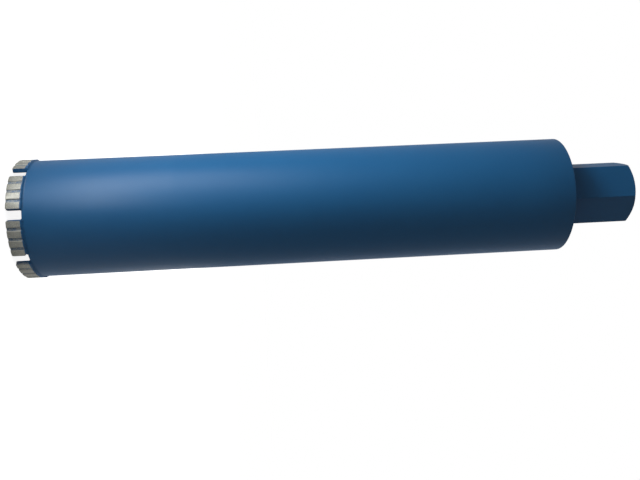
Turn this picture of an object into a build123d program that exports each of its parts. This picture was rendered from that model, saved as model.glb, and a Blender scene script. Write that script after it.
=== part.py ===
from build123d import *

import os
from math import asin, cos, degrees, hypot, radians, sin, tan

# Diamond core bit for wet drilling, standing on its crown.
# Z is the drilling axis, from the cutting tips at z = 0 up to the open end of the drive hub.
# All sizes are in millimetres and degrees.

# Barrel tube
barrel_diameter = 82.0
barrel_wall = 1.8
barrel_length = 372.4
rim_break = 0.4

# Cutting segments
segment_count = 8
segment_height = 9.9
segment_side_relief = 1.0
segment_core_relief = 0.2
water_gap = 8.0
tip_corner_radius = 0.9
inner_corner_bevel = 0.5

# Grooves that run down the segments
groove_count = 3
groove_width = 2.5
groove_floor_width = 1.7
groove_depth = 0.75
inner_groove_depth = 0.5

# Silver braze that holds the segments
braze_film = 0.2
braze_fillet = 1.4
braze_toe = 1.2

# Back plate, seated inside the barrel's upper end
plate_thickness = 12.0
plate_fit_clearance = 0.05
rim_weld_leg = 3.0
rim_weld_crown = 0.6

# Drive hub: a hexagon on a round neck, with a through thread, 1-1/4 inch, 7 threads to the inch
hub_across_flats = 41.0
hub_length = 53.2
hub_clocking = 13.5
hub_neck_height = 6.0
hub_neck_relief = 0.5
hub_end_circle = 39.4
hub_end_bevel_angle = 32.0
thread_minor_diameter = 28.2
thread_lead_in = 2.0
spigot_length = 8.0
spigot_clearance = 0.1
hub_weld_leg = 5.0

# Places worked out from the sizes above
barrel_radius = barrel_diameter / 2
barrel_inner_radius = barrel_radius - barrel_wall
barrel_front = segment_height + braze_film
barrel_rear = barrel_front + barrel_length

crown_radius = barrel_radius + segment_side_relief
crown_inner_radius = barrel_inner_radius - segment_core_relief
segment_pitch = 360 / segment_count
segment_arc = segment_pitch - 2 * degrees(asin(water_gap / 2 / crown_radius))
segment_half_width = crown_radius * sin(radians(segment_arc / 2))
groove_angle = degrees(groove_width / crown_radius)
groove_pitch = (segment_arc + groove_angle) / (groove_count + 1)
groove_floor = groove_floor_width / 2
groove_mouth = groove_width / 2
groove_open = 2 * groove_mouth - groove_floor

plate_radius = barrel_inner_radius - plate_fit_clearance
plate_front = barrel_rear - plate_thickness

hub_apothem = hub_across_flats / 2
hub_neck_radius = hub_apothem - hub_neck_relief
hub_corner_radius = hub_apothem / cos(radians(30))
hub_end = barrel_rear + hub_length
hub_bevel_width = hub_corner_radius - hub_end_circle / 2
hub_bevel_height = hub_bevel_width * tan(radians(hub_end_bevel_angle))
hub_bevel_rise = hub_bevel_width * (hub_corner_radius + hub_end_circle / 2) / hub_bevel_height
hub_bevel_centre = (hub_bevel_rise + hub_bevel_height) / 2
hub_bevel_radius = hypot(hub_end_circle / 2, hub_bevel_centre)
thread_radius = thread_minor_diameter / 2
spigot_radius = (thread_radius + hub_apothem) / 2


def write(part, name):
    part.label = name
    export_step(part, f"parts/{name}.step")


os.makedirs("parts", exist_ok=True)

# Barrel tube: plain drawn tube, its upper outer edge broken
with BuildPart() as barrel_tube:
    with BuildSketch(Plane.XY.offset(barrel_front)):
        Circle(barrel_radius)
        Circle(barrel_inner_radius, mode=Mode.SUBTRACT)
    extrude(amount=barrel_length)
    upper_edges = barrel_tube.edges().filter_by(GeomType.CIRCLE).group_by(Axis.Z)[-1]
    chamfer(upper_edges.sort_by(SortBy.RADIUS)[-1], length=rim_break)

write(barrel_tube.part, "barrel_tube")

# Back plate: a turned disc, bevelled at its upper edge for the rim weld
with BuildPart() as back_plate:
    with BuildSketch(Plane.XY.offset(plate_front)):
        Circle(plate_radius)
        Circle(spigot_radius + spigot_clearance, mode=Mode.SUBTRACT)
    extrude(amount=plate_thickness)
    plate_edges = back_plate.edges().filter_by(GeomType.CIRCLE).group_by(Axis.Z)[-1]
    chamfer(plate_edges.sort_by(SortBy.RADIUS)[-1], length=rim_weld_leg)

write(back_plate.part, "back_plate")

# Rim weld: fills the plate's bevel against the barrel's wall, with a low crown
with BuildPart() as rim_weld:
    with BuildSketch(Plane.XZ):
        with BuildLine():
            Polyline(
                (plate_radius - rim_weld_leg, barrel_rear),
                (plate_radius, barrel_rear - rim_weld_leg),
                (barrel_inner_radius, barrel_rear - rim_weld_leg),
                (barrel_inner_radius, barrel_rear),
                (plate_radius - rim_weld_leg / 2, barrel_rear + rim_weld_crown),
                close=True,
            )
        make_face()
    revolve(axis=Axis.Z)

write(rim_weld.part, "rim_weld")

# Drive hub: a hexagon with a round neck and spigot below, and a threaded hole right through, whose
# wall is the thread's crest. The end bevel is turned to a shallow sphere centred on the axis.
with BuildPart() as hex_hub:
    with BuildSketch(Plane.XY.offset(barrel_rear + hub_neck_height)):
        RegularPolygon(hub_apothem, 6, major_radius=False, rotation=hub_clocking + 30)
    extrude(amount=hub_length - hub_neck_height)
    with BuildSketch(Plane.XZ):
        with BuildLine():
            hexagon_foot = (hub_corner_radius, barrel_rear)
            bevel_foot = (hub_corner_radius, hub_end - hub_bevel_height)
            bevel_top = (hub_end_circle / 2, hub_end)
            RadiusArc(bevel_top, bevel_foot, hub_bevel_radius)
            Polyline(bevel_top, (0, hub_end), (0, barrel_rear), hexagon_foot, bevel_foot)
        make_face()
    revolve(axis=Axis.Z, mode=Mode.INTERSECT)
    with BuildSketch(Plane.XY.offset(barrel_rear)):
        Circle(hub_neck_radius)
    extrude(amount=hub_neck_height)
    with BuildSketch(Plane.XY.offset(barrel_rear)):
        Circle(spigot_radius)
    extrude(amount=-spigot_length)
    with BuildSketch(Plane.XY.offset(barrel_rear - spigot_length)):
        Circle(thread_radius)
    extrude(amount=spigot_length + hub_length, mode=Mode.SUBTRACT)
    mouth_edges = hex_hub.edges().filter_by(GeomType.CIRCLE).group_by(Axis.Z)[-1]
    chamfer(mouth_edges.sort_by(SortBy.RADIUS)[0], length=thread_lead_in)

write(hex_hub.part, "hex_hub")

# Hub weld: a fillet bead round the hub's neck, standing on the back plate
with BuildPart() as hub_weld:
    with BuildSketch(Plane.XZ):
        with BuildLine():
            Polyline(
                (hub_neck_radius, barrel_rear),
                (hub_neck_radius + hub_weld_leg, barrel_rear),
                (hub_neck_radius, barrel_rear + hub_weld_leg),
                close=True,
            )
        make_face()
    revolve(axis=Axis.Z)

write(hub_weld.part, "hub_weld")

# One cutting segment, centred on +X: parallel ends, grooves outside, and half a pitch over, inside.
# The outer grooves flare, and their sides run on past the segment's face by the groove's depth.
with BuildPart() as segment:
    with BuildSketch():
        Circle(crown_radius)
        Circle(crown_inner_radius, mode=Mode.SUBTRACT)
        with Locations((crown_radius / 2, 0)):
            Rectangle(crown_radius, 2 * segment_half_width, mode=Mode.INTERSECT)
    extrude(amount=segment_height)
    inner_edges = segment.edges().filter_by(Axis.Z).sort_by(Axis.X)[:2]
    chamfer(inner_edges, length=inner_corner_bevel)
    tip_edges = segment.edges().group_by(Axis.Z)[0].filter_by(GeomType.LINE).filter_by(Axis.X)
    fillet(tip_edges, radius=tip_corner_radius)
    for place in range(groove_count):
        angle = (place - (groove_count - 1) / 2) * groove_pitch
        with BuildSketch(Plane.XY.rotated((0, 0, angle))):
            with BuildLine():
                Polyline(
                    (crown_radius - groove_depth, -groove_floor),
                    (crown_radius + groove_depth, -groove_open),
                    (crown_radius + groove_depth, groove_open),
                    (crown_radius - groove_depth, groove_floor),
                    close=True,
                )
            make_face()
        extrude(amount=segment_height, mode=Mode.SUBTRACT)
    for place in range(groove_count - 1):
        angle = (place - (groove_count - 2) / 2) * groove_pitch
        with BuildSketch(Plane.XY.rotated((0, 0, angle))):
            with Locations((crown_inner_radius, 0)):
                Rectangle(2 * inner_groove_depth, groove_width)
        extrude(amount=segment_height, mode=Mode.SUBTRACT)

# Braze toes: the small fillets where a segment's ends meet the barrel's edge
with BuildPart() as braze_toes:
    with BuildSketch(Plane.XY.offset(barrel_front - braze_toe)):
        Circle(barrel_radius)
        Circle(barrel_inner_radius, mode=Mode.SUBTRACT)
    extrude(amount=braze_toe)
    with BuildSketch(Plane.YZ):
        for side in (-1, 1):
            with BuildLine():
                Polyline(
                    (side * segment_half_width, barrel_front),
                    (side * segment_half_width, barrel_front - braze_toe),
                    (side * (segment_half_width + braze_toe), barrel_front),
                    close=True,
                )
            make_face()
    extrude(amount=barrel_radius, mode=Mode.INTERSECT)

# One braze seam: a film under the segment, a fillet outside against the barrel, and the two toes
with BuildPart() as braze_seam:
    with BuildSketch(Plane.XZ):
        with BuildLine():
            Polyline(
                (crown_inner_radius, segment_height),
                (crown_radius, segment_height),
                (crown_radius, barrel_front),
                (barrel_radius, barrel_front + braze_fillet),
                (barrel_radius, barrel_front),
                (crown_inner_radius, barrel_front),
                close=True,
            )
        make_face()
    revolve(axis=Axis.Z)
    with BuildSketch(Plane.XY.offset(segment_height)):
        with Locations((crown_radius / 2, 0)):
            Rectangle(crown_radius, 2 * segment_half_width)
    extrude(amount=braze_film + braze_fillet, mode=Mode.INTERSECT)
    add(braze_toes.part)

# The crown: a water gap lies on each side of every segment, the first one on +X
for number in range(segment_count):
    turn = (number + 0.5) * segment_pitch
    with BuildPart() as placed_segment:
        add(segment.part, rotation=(0, 0, turn))
    write(placed_segment.part, f"segment_{number + 1}")
    with BuildPart() as placed_seam:
        add(braze_seam.part, rotation=(0, 0, turn))
    write(placed_seam.part, f"braze_seam_{number + 1}")
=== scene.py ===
from math import asin, ceil, cos, degrees, hypot, pi, radians, sin, sqrt

import bmesh
import bpy
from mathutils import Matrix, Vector, noise


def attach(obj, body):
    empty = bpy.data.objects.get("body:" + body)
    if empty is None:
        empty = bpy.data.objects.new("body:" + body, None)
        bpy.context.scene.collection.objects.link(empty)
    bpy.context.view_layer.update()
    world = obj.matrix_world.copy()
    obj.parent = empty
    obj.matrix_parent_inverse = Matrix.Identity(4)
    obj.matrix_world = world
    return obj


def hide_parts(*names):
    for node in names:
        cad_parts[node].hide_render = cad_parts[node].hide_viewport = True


# Diamond core bit for wet drilling, standing on its crown. Shapes are worked out in millimetres
# and become metres in makePiece.

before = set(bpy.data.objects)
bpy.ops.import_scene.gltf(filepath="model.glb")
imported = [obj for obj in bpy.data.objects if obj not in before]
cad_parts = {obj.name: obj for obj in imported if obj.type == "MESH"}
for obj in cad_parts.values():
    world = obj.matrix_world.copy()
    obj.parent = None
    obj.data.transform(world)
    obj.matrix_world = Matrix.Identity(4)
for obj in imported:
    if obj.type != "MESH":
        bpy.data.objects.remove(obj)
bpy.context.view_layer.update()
print("frame loaded:", len(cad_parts), "nodes")


# What every piece and material uses

def toLinear(hexColour):
    channels = [int(hexColour[place:place + 2], 16) / 255 for place in (1, 3, 5)]
    return [c / 12.92 if c <= 0.04045 else ((c + 0.055) / 1.055) ** 2.4 for c in channels] + [1.0]


def addNode(tree, kind, settings=None, links=None):
    node = tree.nodes.new(kind)
    for key, value in (settings or {}).items():
        if isinstance(key, str) and hasattr(node, key):
            setattr(node, key, value)
        else:
            node.inputs[key].default_value = value
    for key, source in (links or {}).items():
        tree.links.new(source, node.inputs[key])
    return node


def newMaterial(name):
    material = bpy.data.materials.new(name)
    material.use_nodes = True
    material.node_tree.nodes.clear()
    return material, material.node_tree


def finishMaterial(tree, shader):
    addNode(tree, "ShaderNodeOutputMaterial", links={"Surface": shader.outputs[0]})


def perMillimetre(size):
    # texture scale that gives one feature in that many millimetres
    return 1000 / size


def ringLoops(section, steps):
    # a section is a function of the angle that gives its (radius, height) points
    loops = []
    for step in range(steps):
        angle = 2 * pi * step / steps
        loops.append([(r * cos(angle), r * sin(angle), z) for r, z in section(angle)])
    return loops


def sweep(loops, ends="closed"):
    # joins each loop to the next; ends are closed on themselves, capped, or left open to be merged
    points = [point for loop in loops for point in loop]
    size = len(loops[0])
    count = len(loops)
    faces = []
    for here in range(count if ends == "closed" else count - 1):
        there = (here + 1) % count
        for place in range(size):
            beside = (place + 1) % size
            faces.append((here * size + place, here * size + beside,
                          there * size + beside, there * size + place))
    if ends == "capped":
        faces.append(tuple(range(size)))
        faces.append(tuple((count - 1) * size + place for place in reversed(range(size))))
    return points, faces


def joinParts(*parts):
    points, faces = [], []
    for partPoints, partFaces in parts:
        base = len(points)
        points += partPoints
        faces += [tuple(base + corner for corner in face) for face in partFaces]
    return points, faces


def makePiece(name, shape, materials, node, creaseAngle=32, pickMaterial=None, paintAt=None):
    points, faces = shape
    mesh = bpy.data.meshes.new(name)
    mesh.from_pydata([(x / 1000, y / 1000, z / 1000) for x, y, z in points], [], faces)
    for material in materials:
        mesh.materials.append(material)
    work = bmesh.new()
    work.from_mesh(mesh)
    bmesh.ops.remove_doubles(work, verts=work.verts, dist=2e-7)
    bmesh.ops.dissolve_degenerate(work, dist=1e-7, edges=work.edges)
    bmesh.ops.recalc_face_normals(work, faces=work.faces)
    for face in work.faces:
        face.smooth = True
        if pickMaterial:
            middle = face.calc_center_median() * 1000
            face.material_index = pickMaterial(middle, face.normal)
    for edge in work.edges:
        edge.smooth = edge.calc_face_angle(0) < radians(creaseAngle)
    work.to_mesh(mesh)
    work.free()
    if paintAt:
        cover = mesh.attributes.new("paintCover", "FLOAT", "POINT")
        for corner in mesh.vertices:
            cover.data[corner.index].value = paintAt(corner.co * 1000)
    piece = bpy.data.objects.new(name, mesh)
    bpy.context.scene.collection.objects.link(piece)
    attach(piece, "root")
    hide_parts(node)
    return piece


# Finishes

enamelLook = {
    "blue": "#1A6196",           # the coat where it is full
    "thinBlue": "#22689C",       # where the spray went on lighter
    "roughness": 0.40,
    "roughnessSpread": 0.06,
    "peelSize": 1.6,             # orange peel, mm from crest to crest
    "peelDepth": 0.006,          # mm
    "patchSize": 55.0,           # slow change of the coat's thickness, mm
    "ior": 1.45,
    "smut": "#1B2A3C",           # soot and flux left by the torch, under the coat
    "smutSize": 1.3,             # mm
}


def makeEnamel(name, peelSize=None, peelDepth=None, grime=0.0):
    # Alkyd enamel, sprayed on steel and air dried: an even satin blue with a soft, broad highlight,
    # a very fine orange peel in it, and hardly any change of colour from place to place.
    look = enamelLook
    material, tree = newMaterial(name)
    place = addNode(tree, "ShaderNodeTexCoord").outputs["Object"]
    patches = addNode(tree, "ShaderNodeTexNoise",
                      {"Scale": perMillimetre(look["patchSize"]), "Detail": 3.0, "Roughness": 0.55},
                      {"Vector": place})
    colour = addNode(tree, "ShaderNodeMix",
                     {"data_type": "RGBA", 6: toLinear(look["blue"]),
                      7: toLinear(look["thinBlue"])},
                     {0: patches.outputs["Fac"]})
    base = colour.outputs[2]
    if grime:
        smuts = addNode(tree, "ShaderNodeTexNoise",
                        {"Scale": perMillimetre(look["smutSize"]), "Detail": 5.0,
                         "Roughness": 0.6}, {"Vector": place})
        spread = addNode(tree, "ShaderNodeMapRange",
                         {"From Min": 0.35, "From Max": 0.75, "To Min": 0.0, "To Max": grime},
                         {"Value": smuts.outputs["Fac"]})
        darker = addNode(tree, "ShaderNodeMix",
                         {"data_type": "RGBA", 7: toLinear(look["smut"])},
                         {0: spread.outputs["Result"], 6: base})
        base = darker.outputs[2]
    fine = addNode(tree, "ShaderNodeTexNoise",
                   {"Scale": perMillimetre(peelSize or look["peelSize"]), "Detail": 2.0},
                   {"Vector": place})
    gloss = addNode(tree, "ShaderNodeMapRange",
                    {"To Min": look["roughness"] - look["roughnessSpread"],
                     "To Max": look["roughness"] + look["roughnessSpread"]},
                    {"Value": fine.outputs["Fac"]})
    peel = addNode(tree, "ShaderNodeBump",
                   {"Strength": 1.0, "Distance": (peelDepth or look["peelDepth"]) / 1000},
                   {"Height": fine.outputs["Fac"]})
    shader = addNode(tree, "ShaderNodeBsdfPrincipled", {"IOR": look["ior"]},
                     {"Base Color": base, "Roughness": gloss.outputs["Result"],
                      "Normal": peel.outputs["Normal"]})
    finishMaterial(tree, shader)
    return material


drawnSteelLook = {
    "grey": "#77777A",
    "scale": "#4C4A4B",          # thin mill scale that the drawing left
    "roughness": 0.42,
    "lineSize": 0.9,             # die lines round the bore, mm apart
    "lineStretch": 0.02,         # their width over their length
    "lineDepth": 0.01,           # mm
    "scaleSize": 14.0,           # patches of scale, mm
    "dropSize": 0.8,             # drops at the edge of the overspray, mm
    "sprayFrom": 12.0,           # the enamel is full up to this height, mm
    "sprayReach": 55.0,          # and has faded out at this one
}


def makeDrawnSteel(name):
    # Cold-drawn mild steel, left bare inside the tube: mid grey with darker scale in patches and
    # fine straight die lines along the bore; blue spray drifts in from the open end and fades.
    look = drawnSteelLook
    material, tree = newMaterial(name)
    place = addNode(tree, "ShaderNodeTexCoord").outputs["Object"]
    stretched = addNode(tree, "ShaderNodeMapping", {"Scale": (1.0, 1.0, look["lineStretch"])},
                        {"Vector": place})
    lines = addNode(tree, "ShaderNodeTexNoise",
                    {"Scale": perMillimetre(look["lineSize"]), "Detail": 4.0},
                    {"Vector": stretched.outputs[0]})
    patches = addNode(tree, "ShaderNodeTexNoise",
                      {"Scale": perMillimetre(look["scaleSize"]), "Detail": 6.0, "Roughness": 0.62},
                      {"Vector": place})
    scaleCover = addNode(tree, "ShaderNodeMapRange", {"From Min": 0.42, "From Max": 0.62},
                         {"Value": patches.outputs["Fac"]})
    steel = addNode(tree, "ShaderNodeMix",
                    {"data_type": "RGBA", 6: toLinear(look["grey"]), 7: toLinear(look["scale"])},
                    {0: scaleCover.outputs["Result"]})
    height = addNode(tree, "ShaderNodeSeparateXYZ", links={0: place})
    drift = addNode(tree, "ShaderNodeMapRange",
                    {"From Min": look["sprayFrom"] / 1000,
                     "From Max": look["sprayReach"] / 1000,
                     "To Min": 1.0, "To Max": 0.0},
                    {"Value": height.outputs["Z"]})
    speckle = addNode(tree, "ShaderNodeTexNoise",
                      {"Scale": perMillimetre(look["dropSize"]), "Detail": 3.0}, {"Vector": place})
    droplets = addNode(tree, "ShaderNodeMath", {"operation": "SUBTRACT"},
                       {0: drift.outputs["Result"], 1: speckle.outputs["Fac"]})
    cover = addNode(tree, "ShaderNodeMapRange", {"From Min": -0.25, "From Max": 0.25},
                    {"Value": droplets.outputs[0]})
    colour = addNode(tree, "ShaderNodeMix",
                     {"data_type": "RGBA", 7: toLinear(enamelLook["blue"])},
                     {0: cover.outputs["Result"], 6: steel.outputs[2]})
    bareness = addNode(tree, "ShaderNodeMath", {"operation": "SUBTRACT", 0: 1.0},
                       {1: cover.outputs["Result"]})
    gloss = addNode(tree, "ShaderNodeMapRange",
                    {"To Min": look["roughness"] - 0.08, "To Max": look["roughness"] + 0.12},
                    {"Value": lines.outputs["Fac"]})
    relief = addNode(tree, "ShaderNodeBump",
                     {"Strength": 1.0, "Distance": look["lineDepth"] / 1000},
                     {"Height": lines.outputs["Fac"]})
    shader = addNode(tree, "ShaderNodeBsdfPrincipled", {},
                     {"Base Color": colour.outputs[2], "Metallic": bareness.outputs[0],
                      "Roughness": gloss.outputs["Result"], "Normal": relief.outputs["Normal"]})
    finishMaterial(tree, shader)
    return material


turnedSteelLook = {
    "grey": "#9A9A9C",
    "dull": "#6E6C6A",
    "roughness": 0.30,
    "toolMark": 0.35,            # feed marks of the tap and the lathe, mm; drawn coarser than real
    "markStretch": 0.03,         # their width over their length
    "markDepth": 0.008,          # mm
    "filmSize": 5.0,             # patches of oil film, mm
}


def makeTurnedSteel(name):
    # Free-cutting steel, turned and tapped: bright grey with fine rings across the axis and
    # patches of a thin brown-grey film of cutting oil.
    look = turnedSteelLook
    material, tree = newMaterial(name)
    place = addNode(tree, "ShaderNodeTexCoord").outputs["Object"]
    stretch = look["markStretch"]
    flattened = addNode(tree, "ShaderNodeMapping", {"Scale": (stretch, stretch, 1.0)},
                        {"Vector": place})
    rings = addNode(tree, "ShaderNodeTexNoise",
                    {"Scale": perMillimetre(look["toolMark"]), "Detail": 3.0},
                    {"Vector": flattened.outputs[0]})
    film = addNode(tree, "ShaderNodeTexNoise",
                   {"Scale": perMillimetre(look["filmSize"]), "Detail": 5.0, "Roughness": 0.6},
                   {"Vector": place})
    filmCover = addNode(tree, "ShaderNodeMapRange", {"From Min": 0.4, "From Max": 0.7},
                        {"Value": film.outputs["Fac"]})
    colour = addNode(tree, "ShaderNodeMix",
                     {"data_type": "RGBA", 6: toLinear(look["grey"]), 7: toLinear(look["dull"])},
                     {0: filmCover.outputs["Result"]})
    gloss = addNode(tree, "ShaderNodeMapRange",
                    {"To Min": look["roughness"] - 0.08, "To Max": look["roughness"] + 0.12},
                    {"Value": rings.outputs["Fac"]})
    relief = addNode(tree, "ShaderNodeBump",
                     {"Strength": 1.0, "Distance": look["markDepth"] / 1000},
                     {"Height": rings.outputs["Fac"]})
    shader = addNode(tree, "ShaderNodeBsdfPrincipled", {"Metallic": 1.0},
                     {"Base Color": colour.outputs[2], "Roughness": gloss.outputs["Result"],
                      "Normal": relief.outputs["Normal"]})
    finishMaterial(tree, shader)
    return material


sinteredLook = {
    "matrix": "#CFCFC5",         # cobalt and bronze powder, pressed and sintered
    "matrixShade": "#A8A8A1",
    "pore": "#5F5E59",
    "crystal": "#DCDDC8",        # diamond, yellow-green and translucent in the real one
    "gritSize": 0.45,            # 40/50 mesh diamond, mm
    "poreSize": 0.22,            # drawn coarser than real, so that it shows
    "grainDepth": 0.03,          # mm
    "mottleSize": 2.2,           # uneven pressing, mm
    "paintEdge": 0.9,            # size of the ragged edge of the paint, mm
    "roughness": 0.36,
    "metalShare": 0.50,          # the rest is grit, pores and dry powder, which scatter like stone
}


def makeSinteredMatrix(name):
    # Sintered cobalt-bronze matrix with diamond grit: a dull warm grey that looks dry and grainy,
    # with small bright and dark specks, and blue enamel left wherever the dressing wheel missed.
    look = sinteredLook
    material, tree = newMaterial(name)
    place = addNode(tree, "ShaderNodeTexCoord").outputs["Object"]
    mottle = addNode(tree, "ShaderNodeTexNoise",
                     {"Scale": perMillimetre(look["mottleSize"]), "Detail": 4.0, "Roughness": 0.6},
                     {"Vector": place})
    body = addNode(tree, "ShaderNodeMix",
                   {"data_type": "RGBA", 6: toLinear(look["matrix"]),
                    7: toLinear(look["matrixShade"])},
                   {0: mottle.outputs["Fac"]})
    grain = addNode(tree, "ShaderNodeTexNoise",
                    {"Scale": perMillimetre(look["poreSize"]), "Detail": 2.0}, {"Vector": place})
    pores = addNode(tree, "ShaderNodeMapRange", {"From Min": 0.58, "From Max": 0.70},
                    {"Value": grain.outputs["Fac"]})
    pitted = addNode(tree, "ShaderNodeMix", {"data_type": "RGBA", 7: toLinear(look["pore"])},
                     {0: pores.outputs["Result"], 6: body.outputs[2]})
    grit = addNode(tree, "ShaderNodeTexVoronoi",
                   {"Scale": perMillimetre(look["gritSize"] * 2), "Randomness": 1.0},
                   {"Vector": place})
    crystals = addNode(tree, "ShaderNodeMapRange",
                       {"From Min": 0.20, "From Max": 0.26, "To Min": 1.0, "To Max": 0.0},
                       {"Value": grit.outputs["Distance"]})
    gritty = addNode(tree, "ShaderNodeMix", {"data_type": "RGBA", 7: toLinear(look["crystal"])},
                     {0: crystals.outputs["Result"], 6: pitted.outputs[2]})
    cover = addNode(tree, "ShaderNodeAttribute", {"attribute_name": "paintCover"})
    edgeNoise = addNode(tree, "ShaderNodeTexNoise",
                        {"Scale": perMillimetre(look["paintEdge"]), "Detail": 3.0},
                        {"Vector": place})
    ragged = addNode(tree, "ShaderNodeMath", {"operation": "SUBTRACT"},
                     {0: cover.outputs["Fac"], 1: edgeNoise.outputs["Fac"]})
    paint = addNode(tree, "ShaderNodeMapRange", {"From Min": -0.22, "From Max": 0.22},
                    {"Value": ragged.outputs[0]})
    colour = addNode(tree, "ShaderNodeMix", {"data_type": "RGBA", 7: toLinear(enamelLook["blue"])},
                     {0: paint.outputs["Result"], 6: gritty.outputs[2]})
    bareness = addNode(tree, "ShaderNodeMapRange", {"To Min": look["metalShare"], "To Max": 0.0},
                       {"Value": paint.outputs["Result"]})
    gloss = addNode(tree, "ShaderNodeMapRange",
                    {"To Min": look["roughness"] - 0.06, "To Max": look["roughness"] + 0.14},
                    {"Value": grain.outputs["Fac"]})
    heights = addNode(tree, "ShaderNodeMath", {"operation": "ADD"},
                      {0: grain.outputs["Fac"], 1: crystals.outputs["Result"]})
    relief = addNode(tree, "ShaderNodeBump",
                     {"Strength": 1.0, "Distance": look["grainDepth"] / 1000},
                     {"Height": heights.outputs[0]})
    shader = addNode(tree, "ShaderNodeBsdfPrincipled", {},
                     {"Base Color": colour.outputs[2], "Metallic": bareness.outputs["Result"],
                      "Roughness": gloss.outputs["Result"], "Normal": relief.outputs["Normal"]})
    finishMaterial(tree, shader)
    return material


tubeEnamel = makeEnamel("blue alkyd enamel on drawn tube")
plateEnamel = makeEnamel("blue alkyd enamel on turned plate", peelSize=1.9)
hubEnamel = makeEnamel("blue alkyd enamel on hexagon bar", peelSize=1.4, peelDepth=0.003)
weldEnamel = makeEnamel("blue alkyd enamel over weld bead", peelSize=0.8, peelDepth=0.02,
                        grime=0.25)
brazeEnamel = makeEnamel("blue alkyd enamel over silver braze", peelSize=0.7, peelDepth=0.03,
                         grime=0.5)
drawnSteel = makeDrawnSteel("bare cold-drawn steel")
turnedSteel = makeTurnedSteel("bare turned steel")
sinteredMatrix = makeSinteredMatrix("sintered matrix with diamond grit")
print("materials made:", len(bpy.data.materials))


# Barrel tube, sizes in mm

barrel = {"radius": 41.0, "wall": 1.8, "front": 10.1, "rear": 382.5, "rimBreak": 0.4,
          "frontBreak": 0.15, "endBand": 30.0, "steps": 256}
barrel["inner"] = barrel["radius"] - barrel["wall"]


def barrelSection(angle):
    outer, inner = barrel["radius"], barrel["inner"]
    low, high = barrel["front"], barrel["rear"]
    small, large = barrel["frontBreak"], barrel["rimBreak"]
    points = [(inner, low), (outer - small, low), (outer, low + small)]
    points += [(outer, low + barrel["endBand"]), (outer, (low + high) / 2),
               (outer, high - barrel["endBand"])]
    for part in range(5):
        turn = radians(90 * part / 4)
        points.append((outer - large + large * cos(turn), high - large + large * sin(turn)))
    points += [(inner, high), (inner, (low + high) / 2)]
    return points


def barrelMaterial(middle, normal):
    return 1 if hypot(middle.x, middle.y) < barrel["inner"] + 0.1 else 0


makePiece("barrel_tube_body", sweep(ringLoops(barrelSection, barrel["steps"])),
          [tubeEnamel, drawnSteel], "barrel_tube", pickMaterial=barrelMaterial)
print("barrel made")


# Back plate, bevelled at the rim for its weld

plate = {"radius": 39.15, "hole": 17.4, "front": 370.5, "rear": 382.5, "bevel": 3.0,
         "edgeBreak": 0.4, "faceRing": 28.0, "steps": 192}


def plateSection(angle):
    small = plate["edgeBreak"]
    return [(plate["hole"], plate["front"]), (plate["radius"] - small, plate["front"]),
            (plate["radius"], plate["front"] + small),
            (plate["radius"], plate["rear"] - plate["bevel"]),
            (plate["radius"] - plate["bevel"], plate["rear"]),
            (plate["faceRing"], plate["rear"]), (plate["hole"], plate["rear"])]


def plateMaterial(middle, normal):
    return 0 if normal.z > 0.5 else 1


makePiece("back_plate_disc", sweep(ringLoops(plateSection, plate["steps"])),
          [plateEnamel, turnedSteel], "back_plate", pickMaterial=plateMaterial)
print("back plate made")


# Weld beads: the rim bead is crowned, the hub bead is a hollow fillet

rimBead = {"plate": 39.15, "wall": 39.2, "leg": 3.0, "crown": 0.6, "level": 382.5,
           "ripples": 118, "dip": 0.22, "steps": 944}
hubBead = {"neck": 20.0, "leg": 5.0, "level": 382.5, "ripples": 66, "dip": 0.35, "hollow": 0.35,
           "steps": 528}


rippleBend = 0.8          # how far a ripple's middle runs ahead of its edges, in ripples
rippleUnevenness = 0.3


def rippleAt(angle, ripples, across):
    # each ripple is a crescent, and some are deeper than others
    phase = (angle / (2 * pi) * ripples + rippleBend * across * across) % 1.0
    wander = noise.noise(Vector((6 * cos(angle), 6 * sin(angle), ripples / 10)))
    return phase * phase * (1 + rippleUnevenness * wander)


def rimBeadSection(angle):
    inside = rimBead["plate"] - rimBead["leg"]
    points = [(rimBead["wall"], rimBead["level"] - rimBead["leg"]),
              (rimBead["wall"], rimBead["level"])]
    for part in range(1, 11):
        share = part / 11
        across = 2 * share - 1
        dip = rimBead["dip"] * rippleAt(angle, rimBead["ripples"], across)
        rise = (rimBead["crown"] - dip) * (1 - across * across)
        points.append((rimBead["wall"] + (inside - rimBead["wall"]) * share,
                       rimBead["level"] + max(rise, 0.02)))
    points += [(inside, rimBead["level"]), (rimBead["plate"], rimBead["level"] - rimBead["leg"])]
    return points


def hubBeadSection(angle):
    neck, leg, level = hubBead["neck"], hubBead["leg"], hubBead["level"]
    points = [(neck, level), (neck + leg, level)]
    for part in range(1, 12):
        share = part / 12
        across = 2 * share - 1
        dip = hubBead["dip"] * rippleAt(angle, hubBead["ripples"], across)
        inset = (hubBead["hollow"] * 0.5 + dip) * (1 - across * across)
        points.append((neck + leg * (1 - share) - inset, level + leg * share - inset))
    points.append((neck, level + leg))
    return points


makePiece("rim_weld_bead", sweep(ringLoops(rimBeadSection, rimBead["steps"])),
          [weldEnamel], "rim_weld", creaseAngle=50)
makePiece("hub_weld_bead", sweep(ringLoops(hubBeadSection, hubBead["steps"])),
          [weldEnamel], "hub_weld", creaseAngle=50)
print("weld beads made")


# Drive hub, with a right-hand thread cut through it

hub = {"flats": 41.0, "clocking": 13.5, "foot": 382.5, "hexFoot": 388.5, "end": 435.7,
       "neck": 20.0, "spigot": 17.3, "spigotLength": 8.0, "spigotBreak": 0.3,
       "endCircle": 39.4, "bevelRadius": 41.0, "edgeRadius": 0.5, "crest": 14.1,
       "root": 15.875, "pitch": 25.4 / 7, "leadIn": 2.0, "flatRows": (400.0, 415.0),
       "crestShare": 0.155, "rootShare": 0.4375,    # crest ends, root begins
       "steps": 240}
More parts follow.
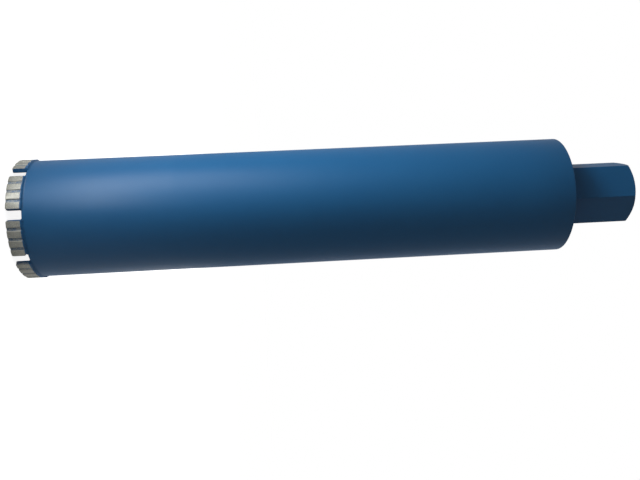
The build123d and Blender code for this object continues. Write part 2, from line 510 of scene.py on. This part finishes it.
# where the points of one thread lie, as shares of the pitch: close together at crest and root
threadPhases = [0.0, 0.12, 0.155, 0.19, 0.30, 0.41, 0.437, 0.455, 0.545, 0.563, 0.59, 0.70,
                0.81, 0.845, 0.88]


def hexRadius(angle):
    # the flat's distance, or the rounded corner's
    apothem = hub["flats"] / 2
    turn = (degrees(angle) - hub["clocking"]) % 60
    off = radians(min(turn, 60 - turn))
    flat = apothem / cos(off)
    corner = hub["edgeRadius"]
    centre = (apothem - corner) / cos(radians(30))
    away = radians(30) - off
    reach = centre * cos(away)
    side = centre * sin(away)
    if side < corner and off > radians(25):
        return min(flat, reach + sqrt(corner * corner - side * side))
    return flat


def bevelHeight(radius):
    # the end bevel is a shallow sphere, so its height follows from the radius alone
    drop = sqrt(hub["bevelRadius"] ** 2 - (hub["endCircle"] / 2) ** 2)
    return hub["end"] - drop + sqrt(hub["bevelRadius"] ** 2 - radius * radius)


def threadRadius(angle, height):
    phase = (height / hub["pitch"] - angle / (2 * pi)) % 1.0
    phase = min(phase, 1 - phase)
    flank = (phase - hub["crestShare"]) / (hub["rootShare"] - hub["crestShare"])
    share = min(max(flank, 0), 1)
    radius = hub["crest"] + (hub["root"] - hub["crest"]) * share
    lead = hub["crest"] + hub["leadIn"] - (hub["end"] - height)
    return max(radius, lead)


def hubLoops():
    low = hub["foot"] - hub["spigotLength"]
    turns = ceil((hub["end"] - low) / hub["pitch"]) + 2
    start = low - low % hub["pitch"] - hub["pitch"]
    loops = []
    for step in range(hub["steps"] + 1):
        angle = 2 * pi * step / hub["steps"]
        wide = hexRadius(angle)
        outline = [(hub["spigot"] - hub["spigotBreak"], low),
                   (hub["spigot"], low + hub["spigotBreak"]),
                   (hub["spigot"], hub["foot"]), (hub["neck"], hub["foot"]),
                   (hub["neck"], hub["hexFoot"]), (wide, hub["hexFoot"])]
        outline += [(wide, height) for height in hub["flatRows"]] + [(wide, bevelHeight(wide))]
        for part in (1, 2, 3, 4):
            radius = wide + (hub["endCircle"] / 2 - wide) * part / 4
            outline.append((radius, bevelHeight(radius)))
        outline.append((hub["crest"] + hub["leadIn"], hub["end"]))
        for row in reversed(range(turns * len(threadPhases))):
            turn, place = divmod(row, len(threadPhases))
            height = start + (turn + threadPhases[place] + angle / (2 * pi)) * hub["pitch"]
            height = min(max(height, low), hub["end"] - 0.001)
            outline.append((threadRadius(angle, height), height))
        loops.append([(r * cos(angle), r * sin(angle), z) for r, z in outline])
    return loops


def hubMaterial(middle, normal):
    radius = hypot(middle.x, middle.y)
    inside = radius < hub["crest"] + hub["leadIn"] - 0.05
    return 1 if inside or middle.z < hub["foot"] - 0.2 else 0


makePiece("hex_hub_body", sweep(hubLoops(), ends="open"), [hubEnamel, turnedSteel],
          "hex_hub", creaseAngle=26, pickMaterial=hubMaterial)
print("hub made")


# Cutting segments, all eight from one outline, and their braze

crown = {"radius": 42.0, "inner": 39.0, "height": 9.9, "count": 8, "gap": 8.0,
         "tipCorner": 0.9, "tipEdge": 0.25, "innerBevel": 0.5,
         "grooves": 3, "grooveMouth": 2.5, "grooveFloor": 1.7, "grooveDepth": 0.75,
         "grooveEase": 0.12, "innerFloor": 2.2, "innerDepth": 0.5, "step": 0.22, "rows": 34,
         "chipped": {7: 1.3}}     # a base corner left short of braze, mm
braze = {"film": 0.2, "fillet": 1.4, "sag": 0.16, "toe": 1.2, "toeShare": 0.97,
         "chipShare": 0.6, "barrel": 41.0, "bore": 39.2, "steps": 40}

segmentArc = 2 * pi / crown["count"] - 2 * asin(crown["gap"] / 2 / crown["radius"])
halfWidth = crown["radius"] * sin(segmentArc / 2)
grooveAngle = crown["grooveMouth"] / crown["radius"]
groovePitch = (segmentArc + grooveAngle) / (crown["grooves"] + 1)


def smoothStep(value):
    value = min(max(value, 0.0), 1.0)
    return value * value * (3 - 2 * value)


def grooveDepthAt(offset, radius, count, pitch, mouth, floorWidth, depth):
    ease = crown["grooveEase"]
    deepest = 0.0
    for place in range(count):
        centre = radius * sin((place - (count - 1) / 2) * pitch)
        away = abs(offset - centre)
        share = (mouth / 2 + ease - away) / ((mouth - floorWidth) / 2 + 2 * ease)
        deepest = max(deepest, depth * smoothStep(share))
    return deepest


def outerRadius(offset):
    depth = grooveDepthAt(offset, crown["radius"], crown["grooves"], groovePitch,
                          crown["grooveMouth"], crown["grooveFloor"], crown["grooveDepth"])
    return crown["radius"] - depth


def innerRadius(offset):
    depth = grooveDepthAt(offset, crown["inner"], crown["grooves"] - 1, groovePitch,
                          crown["grooveMouth"], crown["innerFloor"], crown["innerDepth"])
    toEnd = halfWidth - abs(offset)
    return crown["inner"] + max(depth, crown["innerBevel"] - toEnd)


def roundOff(away, radius):
    # how far a rounded edge falls back at that distance from it
    if away >= radius:
        return 0.0
    return radius - sqrt(max(radius * radius - (radius - away) ** 2, 0.0))


def spun(offset, radius, height, turn):
    # a point of a segment centred on +X, turned to its place
    x = sqrt(radius * radius - offset * offset)
    return (x * cos(turn) - offset * sin(turn), x * sin(turn) + offset * cos(turn), height)


def segmentLoops(number, turn):
    chip = crown["chipped"].get(number, 0.0)
    count = ceil(2 * halfWidth / crown["step"])
    loops = []
    for place in range(count + 1):
        offset = -halfWidth + 2 * halfWidth * place / count
        toEnd = halfWidth - abs(offset)
        tip = roundOff(toEnd, crown["tipCorner"])
        base = crown["height"] - max(chip - (halfWidth - offset), 0.0)
        outer, inner = outerRadius(offset), innerRadius(offset)
        loop = []
        for row in range(crown["rows"] + 1):
            share = row / crown["rows"]
            height = base + (tip - base) * share
            loop.append((outer - roundOff(height - tip, crown["tipEdge"]), height))
        for column in range(1, 6):
            share = column / 6
            width = inner - outer + 2 * crown["tipEdge"]
            loop.append((outer - crown["tipEdge"] + width * share, tip))
        for row in range(13):
            share = row / 12
            height = tip + (base - tip) * share
            loop.append((inner + roundOff(height - tip, crown["tipEdge"]), height))
        loops.append([spun(offset, radius, height, turn) for radius, height in loop])
    return loops


def brazeShape(number, turn):
    chip = crown["chipped"].get(number, 0.0)
    film, front = crown["height"], crown["height"] + braze["film"]
    rise = braze["fillet"]
    count = braze["steps"]
    body = []
    for place in range(count + 1):
        offset = -halfWidth + (2 * halfWidth - chip * braze["chipShare"]) * place / count
        loop = [(crown["inner"], film), (crown["radius"], film), (crown["radius"], front)]
        for part in range(1, 6):
            share = part / 6
            sag = braze["sag"] * sin(pi * share)
            loop.append((crown["radius"] + (braze["barrel"] - crown["radius"]) * share - sag,
                         front + rise * share - sag))
        loop += [(braze["barrel"], front + rise), (braze["barrel"], front),
                 (crown["inner"], front)]
        body.append([spun(offset, radius, height, turn) for radius, height in loop])
    parts = [sweep(body, ends="capped")]
    for side in (-1, 1):
        if side == 1 and chip:
            continue
        toe = []
        for part in range(9):
            along = braze["toe"] * braze["toeShare"] * part / 8
            rest = max(braze["toe"] ** 2 - (braze["toe"] - along) ** 2, 0.0)
            low = front - braze["toe"] + sqrt(rest)
            offset = side * (halfWidth + along)
            loop = [(braze["bore"], low), (braze["barrel"], low), (braze["barrel"], front),
                    (braze["bore"], front)]
            toe.append([spun(offset, radius, height, turn) for radius, height in loop])
        parts.append(sweep(toe, ends="capped"))
    return joinParts(*parts)


crownPaint = {
    # where the dressing stopped short of the braze: the paint's lower edge at either end, mm
    "edges": {1: (9.0, 8.8), 2: (9.2, 9.0), 3: (8.9, 9.2), 4: (9.1, 9.0),
              5: (9.1, 8.4), 6: (9.3, 9.2), 7: (9.2, 9.0), 8: (8.9, 9.2)},
    "fade": 0.7,                 # mm
    # how much paint is left, from 0 to 1
    # on segment 8 less paint is left, so its end walls come out lighter, a painted highlight; on
    # segment 5 more, so they come out darker, painted shade; the rest is paint really left after
    # dressing
    "endWallPaintAndShading": {1: 0.60, 2: 0.55, 3: 0.65, 4: 0.60, 5: 0.80, 6: 0.65, 7: 0.60, 8: 0.38},
    "grooves": 0.48,
    "bore": 0.8,
}


def paintCoverFor(number, turn):
    nearEnd, farEnd = crownPaint["edges"][number]

    def cover(point):
        offset = -point.x * sin(turn) + point.y * cos(turn)
        radius = hypot(point.x, point.y)
        line = nearEnd + (farEnd - nearEnd) * (offset / halfWidth + 1) / 2
        above = smoothStep((point.z - line) / crownPaint["fade"] + 0.5)
        onEnd = halfWidth - abs(offset) < 0.02 and point.z > 0.8
        # the end-wall cover per segment is partly real paint and partly painted highlight and shade
        endWall = crownPaint["endWallPaintAndShading"][number] if onEnd else 0.0
        groove = crownPaint["grooves"] * smoothStep((crown["radius"] - 0.25 - radius) / 0.35)
        onBore = radius < crown["inner"] + crown["innerDepth"] + 0.02
        bore = crownPaint["bore"] if onBore else 0.0
        if point.z < 0.15:
            groove, bore = 0.0, 0.0
        return max(above, endWall, groove, bore)

    return cover


for number in range(1, crown["count"] + 1):
    turn = 2 * pi * (number - 0.5) / crown["count"]
    makePiece("segment_%d_block" % number, sweep(segmentLoops(number, turn), ends="capped"),
              [sinteredMatrix], "segment_%d" % number, creaseAngle=40,
              paintAt=paintCoverFor(number, turn))
    makePiece("braze_seam_%d_fillet" % number, brazeShape(number, turn), [brazeEnamel],
              "braze_seam_%d" % number, creaseAngle=40)
print("crown made:", crown["count"], "segments")


# Floor, light and camera

studio = {
    "floorSize": 14.0, "floorColour": "#E6E6E4",
    "grainSize": 3.333, "grainDepth": 0.1,   # of the floor's face, mm
    "floorGlow": 0.90, "floorShine": 0.12,   # the floor's own light, seen and in reflections
    # a painted streak of light on the floor, where no lamp shines: only shiny things see it, and it
    # puts painted reflections on the segments and the barrel
    "paintedStreakShine": 2.0, "streakNarrowness": 8.0,
    "streakFoot": (-0.010, -0.040, 0.0), "streakAzimuth": 225.0,
    "rearGlow": 0.42, "roomGlow": 0.32,      # what shiny things reflect: white sweep, dim room
    "rearLight": 1.0, "roomLight": 0.07,     # what the same two give back as soft light
    "sweepNarrowness": 4.0,
}

# a grid narrows a softbox's beam, in degrees; the ones that aren't mirrored leave no glare
lamps = {
    "crown softbox": {"place": (-0.1245, -0.1565, 0.02), "aim": (0.0, 0.0, 0.02),
                      "size": (0.20, 0.03), "power": 0.116},
    "side softbox": {"place": (-0.3837, -0.2351, 0.05), "aim": (0.0, 0.0, 0.05),
                     "size": (0.30, 0.20), "power": 0.44},
    "hub softbox": {"place": (-0.2737, -0.158, 0.05), "aim": (0.0, 0.0, 0.38),
                    "size": (0.16, 0.12), "power": 0.335, "grid": 110, "mirrored": False},
    "rear softbox": {"place": (0.0, 0.7, 1.1), "aim": (0.0, 0.0, 0.2),
                     "size": (0.8, 0.8), "power": 3.0, "mirrored": False},
    "far softbox": {"place": (0.423, 0.906, 0.5), "aim": (0.0, 0.0, 0.2),
                    "size": (0.6, 0.6), "power": 5.0, "mirrored": False},
}

cameraSetup = {
    "place": (0.0404, -0.50412, 0.17683),
    "turn": (140.03, -85.506, -48.212),
    "lens": 38.997,               # on a 36 mm wide sensor
}


def makeFloor():
    half = studio["floorSize"] / 2
    mesh = bpy.data.meshes.new("floor")
    mesh.from_pydata([(-half, -half, 0), (half, -half, 0), (half, half, 0), (-half, half, 0)],
                     [], [(0, 1, 2, 3)])
    floor = bpy.data.objects.new("floor", mesh)
    bpy.context.scene.collection.objects.link(floor)
    # Matt laminate board, white: flat and even, it takes the object's soft shadow; in reflections
    # it also glows with a painted streak of light.
    material, tree = newMaterial("white matt laminate")
    rays = addNode(tree, "ShaderNodeLightPath")
    place = addNode(tree, "ShaderNodeTexCoord").outputs["Object"]
    grain = addNode(tree, "ShaderNodeTexNoise",
                    {"Scale": perMillimetre(studio["grainSize"]), "Detail": 2.0}, {"Vector": place})
    relief = addNode(tree, "ShaderNodeBump",
                     {"Strength": 0.2, "Distance": studio["grainDepth"] / 1000},
                     {"Height": grain.outputs["Fac"]})
    matt = addNode(tree, "ShaderNodeBsdfDiffuse", {"Color": toLinear(studio["floorColour"])},
                   {"Normal": relief.outputs["Normal"]})
    mirrored = addNode(tree, "ShaderNodeMath", {"operation": "MAXIMUM"},
                       {0: rays.outputs["Is Glossy Ray"], 1: rays.outputs["Is Transmission Ray"]})
    # the painted streak: in reflections the floor glows brighter in a lobe that runs out from
    # streakFoot towards streakAzimuth, a painted reflection of the key light
    azimuth = radians(studio["streakAzimuth"])
    fromFoot = addNode(tree, "ShaderNodeVectorMath",
                       {"operation": "SUBTRACT", 1: studio["streakFoot"]}, {0: place})
    outward = addNode(tree, "ShaderNodeVectorMath", {"operation": "NORMALIZE"},
                      {0: fromFoot.outputs[0]})
    along = addNode(tree, "ShaderNodeVectorMath",
                    {"operation": "DOT_PRODUCT", 1: (cos(azimuth), sin(azimuth), 0.0)},
                    {0: outward.outputs[0]})
    ahead = addNode(tree, "ShaderNodeMath", {"operation": "MAXIMUM", 1: 0.0},
                    {0: along.outputs["Value"]})
    streak = addNode(tree, "ShaderNodeMath", {"operation": "POWER", 1: studio["streakNarrowness"]},
                     {0: ahead.outputs[0]})
    mirrorLevel = addNode(tree, "ShaderNodeMath",
                          {"operation": "MULTIPLY_ADD", 1: studio["paintedStreakShine"],
                           2: studio["floorShine"]},
                          {0: streak.outputs[0]})
    shine = addNode(tree, "ShaderNodeMath", {"operation": "MULTIPLY"},
                    {0: mirrored.outputs[0], 1: mirrorLevel.outputs[0]})
    level = addNode(tree, "ShaderNodeMath", {"operation": "MULTIPLY_ADD", 1: studio["floorGlow"]},
                    {0: rays.outputs["Is Camera Ray"], 2: shine.outputs[0]})
    glow = addNode(tree, "ShaderNodeEmission", {"Color": (1, 1, 1, 1)},
                   {"Strength": level.outputs[0]})
    both = addNode(tree, "ShaderNodeAddShader", links={0: matt.outputs[0], 1: glow.outputs[0]})
    finishMaterial(tree, both)
    material.cycles.emission_sampling = "NONE"    # as in makeRoom
    mesh.materials.append(material)


def makeRoom():
    # a white sweep behind the object and a darker room in front of it
    world = bpy.data.worlds.new("studio")
    bpy.context.scene.world = world
    world.use_nodes = True
    tree = world.node_tree
    tree.nodes.clear()
    rays = addNode(tree, "ShaderNodeLightPath")
    direction = addNode(tree, "ShaderNodeTexCoord").outputs["Generated"]
    parts = addNode(tree, "ShaderNodeSeparateXYZ", links={0: direction})
    forward = addNode(tree, "ShaderNodeMath", {"operation": "MAXIMUM", 1: 0.0},
                      {0: parts.outputs["Y"]})
    behind = addNode(tree, "ShaderNodeMath", {"operation": "POWER", 1: studio["sweepNarrowness"]},
                     {0: forward.outputs[0]})
    mirrored = addNode(tree, "ShaderNodeMix",
                       {"data_type": "FLOAT", 2: studio["roomGlow"], 3: studio["rearGlow"]},
                       {0: behind.outputs[0]})
    soft = addNode(tree, "ShaderNodeMix",
                   {"data_type": "FLOAT", 2: studio["roomLight"], 3: studio["rearLight"]},
                   {0: behind.outputs[0]})
    reflected = addNode(tree, "ShaderNodeMath", {"operation": "MAXIMUM"},
                        {0: rays.outputs["Is Glossy Ray"], 1: rays.outputs["Is Transmission Ray"]})
    lit = addNode(tree, "ShaderNodeMix", {"data_type": "FLOAT"},
                  {0: reflected.outputs[0], 2: soft.outputs[0], 3: mirrored.outputs[0]})
    shown = addNode(tree, "ShaderNodeMix", {"data_type": "FLOAT", 3: 1.0},
                    {0: rays.outputs["Is Camera Ray"], 2: lit.outputs[0]})
    light = addNode(tree, "ShaderNodeBackground", {"Color": (1, 1, 1, 1)},
                    {"Strength": shown.outputs[0]})
    addNode(tree, "ShaderNodeOutputWorld", links={"Surface": light.outputs[0]})
    world.cycles.sampling_method = "NONE"    # so shiny and matt rays each meet their own level


def makeLamp(name, setup):
    lamp = bpy.data.lights.new(name, "AREA")
    lamp.shape = "RECTANGLE"
    lamp.size, lamp.size_y = setup["size"]
    lamp.energy = setup["power"]
    lamp.spread = radians(setup.get("grid", 180))
    holder = bpy.data.objects.new(name, lamp)
    holder.location = setup["place"]
    aim = Vector(setup["aim"]) - Vector(setup["place"])
    holder.rotation_euler = aim.to_track_quat("-Z", "Y").to_euler()
    holder.visible_glossy = setup.get("mirrored", True)
    bpy.context.scene.collection.objects.link(holder)


makeFloor()
makeRoom()
for name, setup in lamps.items():
    makeLamp(name, setup)

lens = bpy.data.cameras.new("camera")
lens.sensor_width = 36.0
lens.lens = cameraSetup["lens"]
lens.clip_start = 0.01
viewer = bpy.data.objects.new("camera", lens)
viewer.location = cameraSetup["place"]
viewer.rotation_euler = [radians(angle) for angle in cameraSetup["turn"]]
bpy.context.scene.collection.objects.link(viewer)
bpy.context.scene.camera = viewer
bpy.context.scene.view_settings.view_transform = "Standard"
print("stage, lamps and camera set")


bpy.context.view_layer.update()
